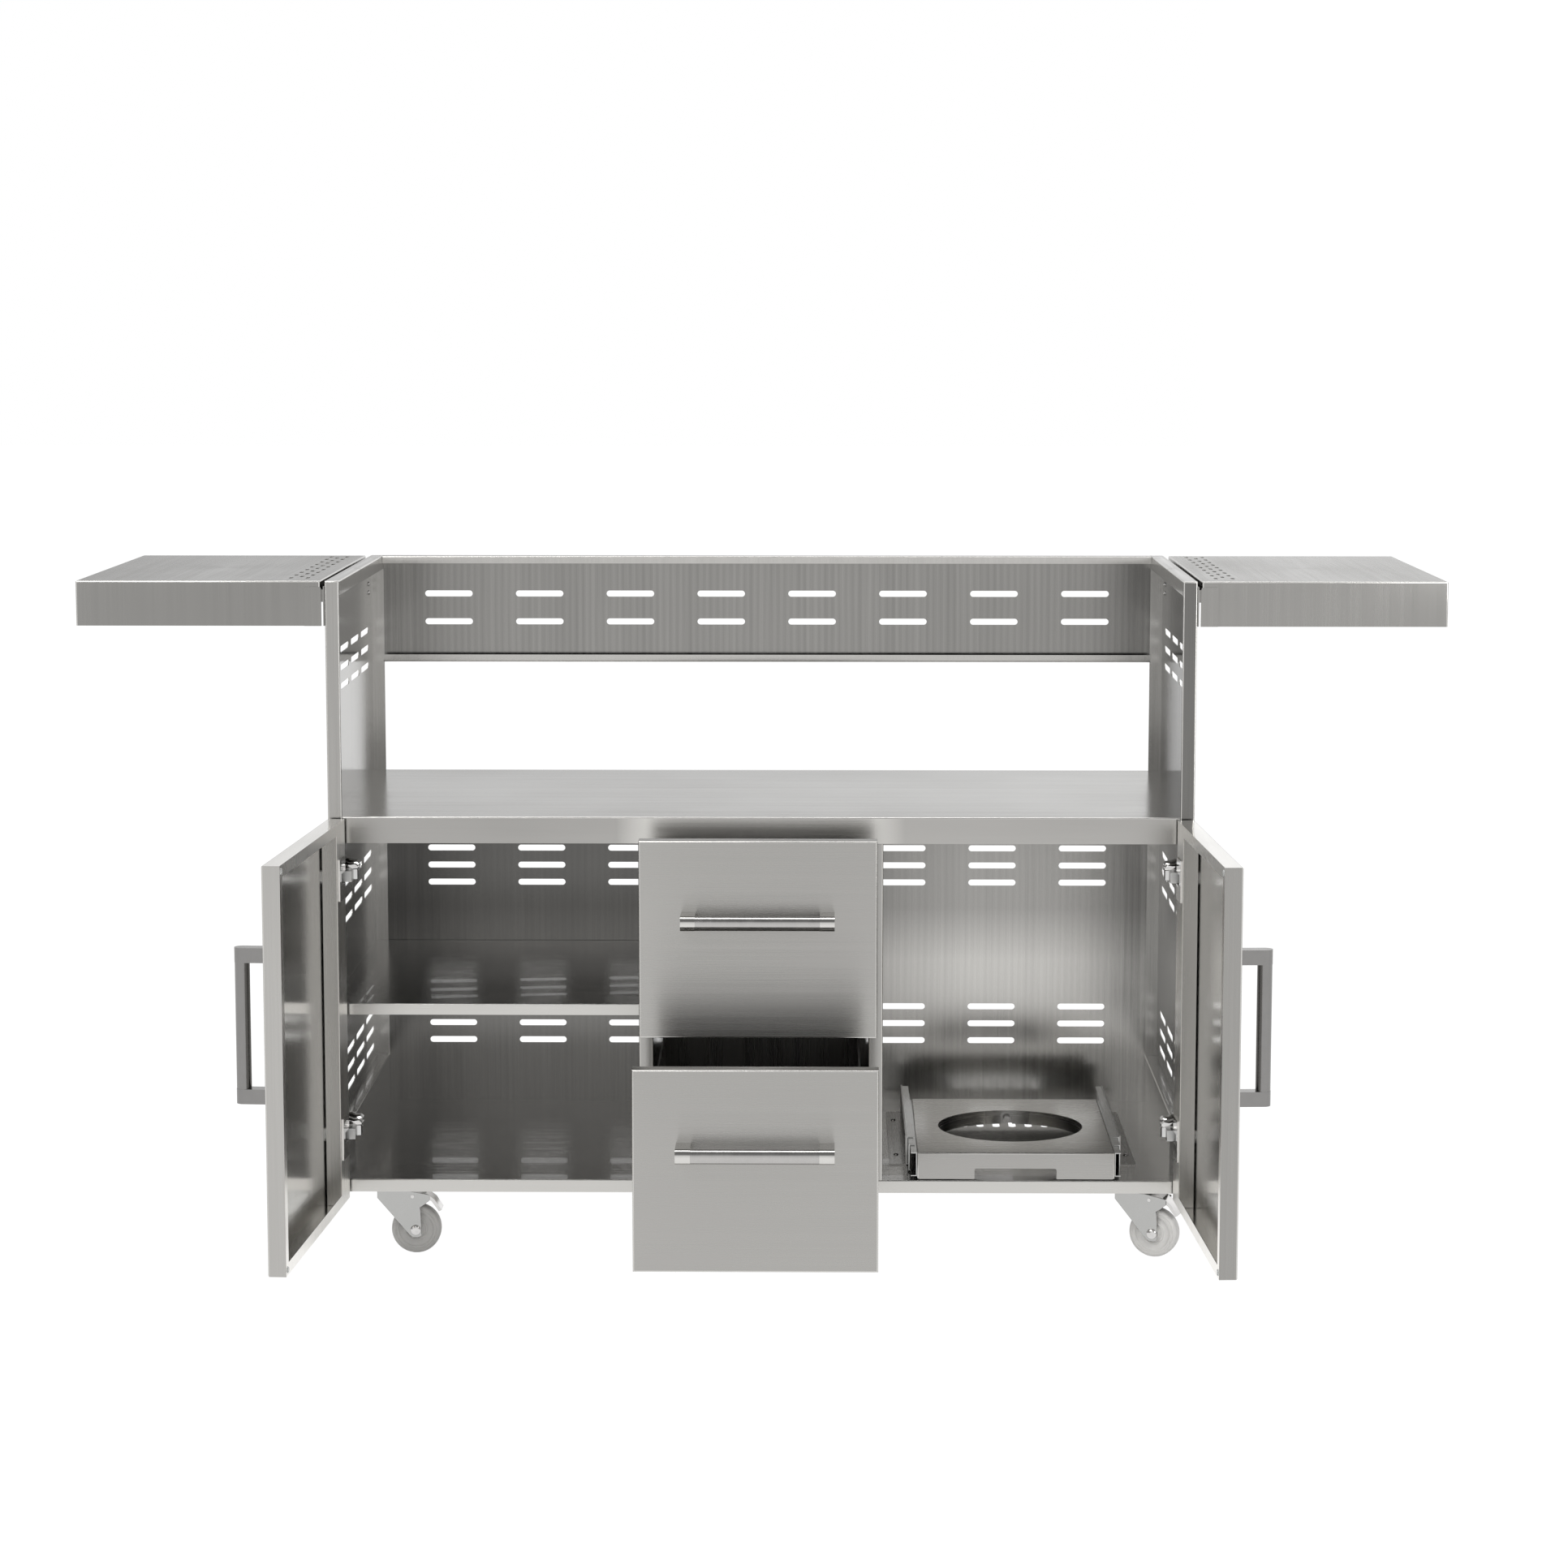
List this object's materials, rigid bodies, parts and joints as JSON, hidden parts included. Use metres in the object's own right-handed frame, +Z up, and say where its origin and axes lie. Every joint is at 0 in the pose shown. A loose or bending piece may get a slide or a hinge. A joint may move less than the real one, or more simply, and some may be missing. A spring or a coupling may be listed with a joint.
{
  "type": "grill cart",
  "caption": "Wheeled sheet steel cart for a built-in grill, with a recessed deck, hinged doors, drawers on slides, a sliding tank tray, fold-down side shelves and swivel casters.",
  "frame": {"origin": "on the ground, under the middle of the box round the cart as it stands, with its doors and drawers open", "axes": "+X to the cart's right, its longest extent; +Y to the back; +Z up"},
  "size_m": [1.886, 0.997, 0.959],
  "materials": {
    "steel_sheet": "brushed",
    "steel_front": "fine horizontal brushing",
    "polished": "polished",
    "plated": "bright zinc plating",
    "wheel_grey": "satin",
    "bumper_clear": "translucent satin"
  },
  "bodies": {
    "cabinet": {"left_side_panel": "steel_sheet", "right_side_panel": "steel_sheet", "upper_back_panel": "steel_sheet", "lower_back_panel": "steel_sheet", "deck": "steel_sheet", "floor_pan": "steel_sheet", "left_divider": "steel_sheet", "right_divider": "steel_sheet", "middle_shelf": "steel_sheet", "caster_rails": "steel_sheet", "shelf_brackets": "steel_sheet", "shelf_pivot_pins": "plated", "tray_brackets": "steel_sheet", "slide_outer_members": "plated", "hinge_arms": "plated", "caster_plates": "plated", "screws": "plated"},
    "left_door": {"left_door_pan": "steel_front", "left_door_handle": "polished", "left_hinge_cups": "plated", "left_bumpers": "bumper_clear"},
    "right_door": {"right_door_pan": "steel_front", "right_door_handle": "polished", "right_hinge_cups": "plated", "right_bumpers": "bumper_clear"},
    "upper_drawer": {"upper_drawer_front": "steel_front", "upper_drawer_box": "steel_sheet", "upper_drawer_handle": "polished", "upper_inner_slides": "plated"},
    "upper_slide_middles": {"upper_middle_slides": "plated"},
    "lower_drawer": {"lower_drawer_front": "steel_front", "lower_drawer_box": "steel_sheet", "lower_drawer_handle": "polished", "lower_inner_slides": "plated"},
    "lower_slide_middles": {"lower_middle_slides": "plated"},
    "tray": {"tank_tray": "steel_front", "tank_clamp": "polished", "tray_inner_slides": "plated"},
    "tray_slide_middles": {"tray_middle_slides": "plated"},
    "lock_screw": {"tank_lock_screw": "plated"},
    "left_shelf": {"left_side_shelf": "steel_front"},
    "right_shelf": {"right_side_shelf": "steel_front"},
    "fork_front_left_body": {"fork_front_left": "plated", "axle_front_left": "plated"},
    "wheel_front_left_body": {"wheel_front_left": "wheel_grey"},
    "fork_front_right_body": {"fork_front_right": "plated", "axle_front_right": "plated"},
    "wheel_front_right_body": {"wheel_front_right": "wheel_grey"},
    "fork_back_left_body": {"fork_back_left": "plated", "axle_back_left": "plated"},
    "wheel_back_left_body": {"wheel_back_left": "wheel_grey"},
    "fork_back_right_body": {"fork_back_right": "plated", "axle_back_right": "plated"},
    "wheel_back_right_body": {"wheel_back_right": "wheel_grey"},
    "brake_front_left_body": {"brake_front_left": "plated"},
    "brake_front_right_body": {"brake_front_right": "plated"}
  },
  "joints": [
    {"name": "right_door_hinge", "type": "hinge", "parent": "cabinet", "child": "right_door", "pos_m": [0.592, -0.05235, 0.416], "axis": [0, 0, 1], "range_deg": [-92.5, 12.5]},
    {"name": "left_door_hinge", "type": "hinge", "parent": "cabinet", "child": "left_door", "pos_m": [-0.592, -0.05235, 0.416], "axis": [0, 0, -1], "range_deg": [-93.5, 11.5]},
    {"name": "right_shelf_fold", "type": "hinge", "parent": "cabinet", "child": "right_shelf", "pos_m": [0.62, 0.22715, 0.9065], "axis": [0, 1, 0], "range_deg": [0, 90]},
    {"name": "left_shelf_fold", "type": "hinge", "parent": "cabinet", "child": "left_shelf", "pos_m": [-0.62, 0.22715, 0.9065], "axis": [0, -1, 0], "range_deg": [0, 90]},
    {"name": "upper_drawer_slide", "type": "slide", "parent": "cabinet", "child": "upper_drawer", "axis": [0, -1, 0], "range_m": [-0.193, 0.257]},
    {"name": "upper_middle_slide", "type": "slide", "parent": "cabinet", "child": "upper_slide_middles", "axis": [0, -1, 0], "range_m": [-0.0965, 0.1285]},
    {"name": "lower_drawer_slide", "type": "slide", "parent": "cabinet", "child": "lower_drawer", "axis": [0, -1, 0], "range_m": [-0.391, 0.059]},
    {"name": "lower_middle_slide", "type": "slide", "parent": "cabinet", "child": "lower_slide_middles", "axis": [0, -1, 0], "range_m": [-0.1955, 0.0295]},
    {"name": "tray_slide", "type": "slide", "parent": "cabinet", "child": "tray", "axis": [0, -1, 0], "range_m": [-0.086, 0.264]},
    {"name": "tray_middle_slide", "type": "slide", "parent": "cabinet", "child": "tray_slide_middles", "axis": [0, -1, 0], "range_m": [-0.043, 0.132]},
    {"name": "tank_lock", "type": "slide", "parent": "tray", "child": "lock_screw", "axis": [0, -1, 0], "range_m": [-0.005, 0.004]},
    {"name": "swivel_front_left", "type": "hinge", "parent": "cabinet", "child": "fork_front_left_body", "pos_m": [-0.524, 0.02615, 0.101], "axis": [0, 0, 1], "continuous": true},
    {"name": "spin_front_left", "type": "hinge", "parent": "fork_front_left_body", "child": "wheel_front_left_body", "pos_m": [-0.49, 0.02615, 0.035], "axis": [0, 1, 0], "continuous": true},
    {"name": "brake_lever_front_left", "type": "hinge", "parent": "fork_front_left_body", "child": "brake_front_left_body", "pos_m": [-0.494, 0.02615, 0.0835], "axis": [0, 1, 0], "range_deg": [0, 8]},
    {"name": "swivel_front_right", "type": "hinge", "parent": "cabinet", "child": "fork_front_right_body", "pos_m": [0.524, 0.02615, 0.101], "axis": [0, 0, 1], "continuous": true},
    {"name": "spin_front_right", "type": "hinge", "parent": "fork_front_right_body", "child": "wheel_front_right_body", "pos_m": [0.55595, 0.01452, 0.035], "axis": [0.342, 0.9397, 0], "continuous": true},
    {"name": "brake_lever_front_right", "type": "hinge", "parent": "fork_front_right_body", "child": "brake_front_right_body", "pos_m": [0.55219, 0.01589, 0.0835], "axis": [0.342, 0.9397, 0], "range_deg": [0, 8]},
    {"name": "swivel_back_left", "type": "hinge", "parent": "cabinet", "child": "fork_back_left_body", "pos_m": [-0.524, 0.43615, 0.101], "axis": [0, 0, 1], "continuous": true},
    {"name": "spin_back_left", "type": "hinge", "parent": "fork_back_left_body", "child": "wheel_back_left_body", "pos_m": [-0.49319, 0.45052, 0.035], "axis": [-0.4226, 0.9063, 0], "continuous": true},
    {"name": "swivel_back_right", "type": "hinge", "parent": "cabinet", "child": "fork_back_right_body", "pos_m": [0.524, 0.43615, 0.101], "axis": [0, 0, 1], "continuous": true},
    {"name": "spin_back_right", "type": "hinge", "parent": "fork_back_right_body", "child": "wheel_back_right_body", "pos_m": [0.55748, 0.44205, 0.035], "axis": [-0.1736, 0.9848, 0], "continuous": true}
  ],
  "couplings": [
    {"joint": "upper_middle_slide", "follows": "upper_drawer_slide", "ratio": 0.5},
    {"joint": "lower_middle_slide", "follows": "lower_drawer_slide", "ratio": 0.5},
    {"joint": "tray_middle_slide", "follows": "tray_slide", "ratio": 0.5}
  ]
}
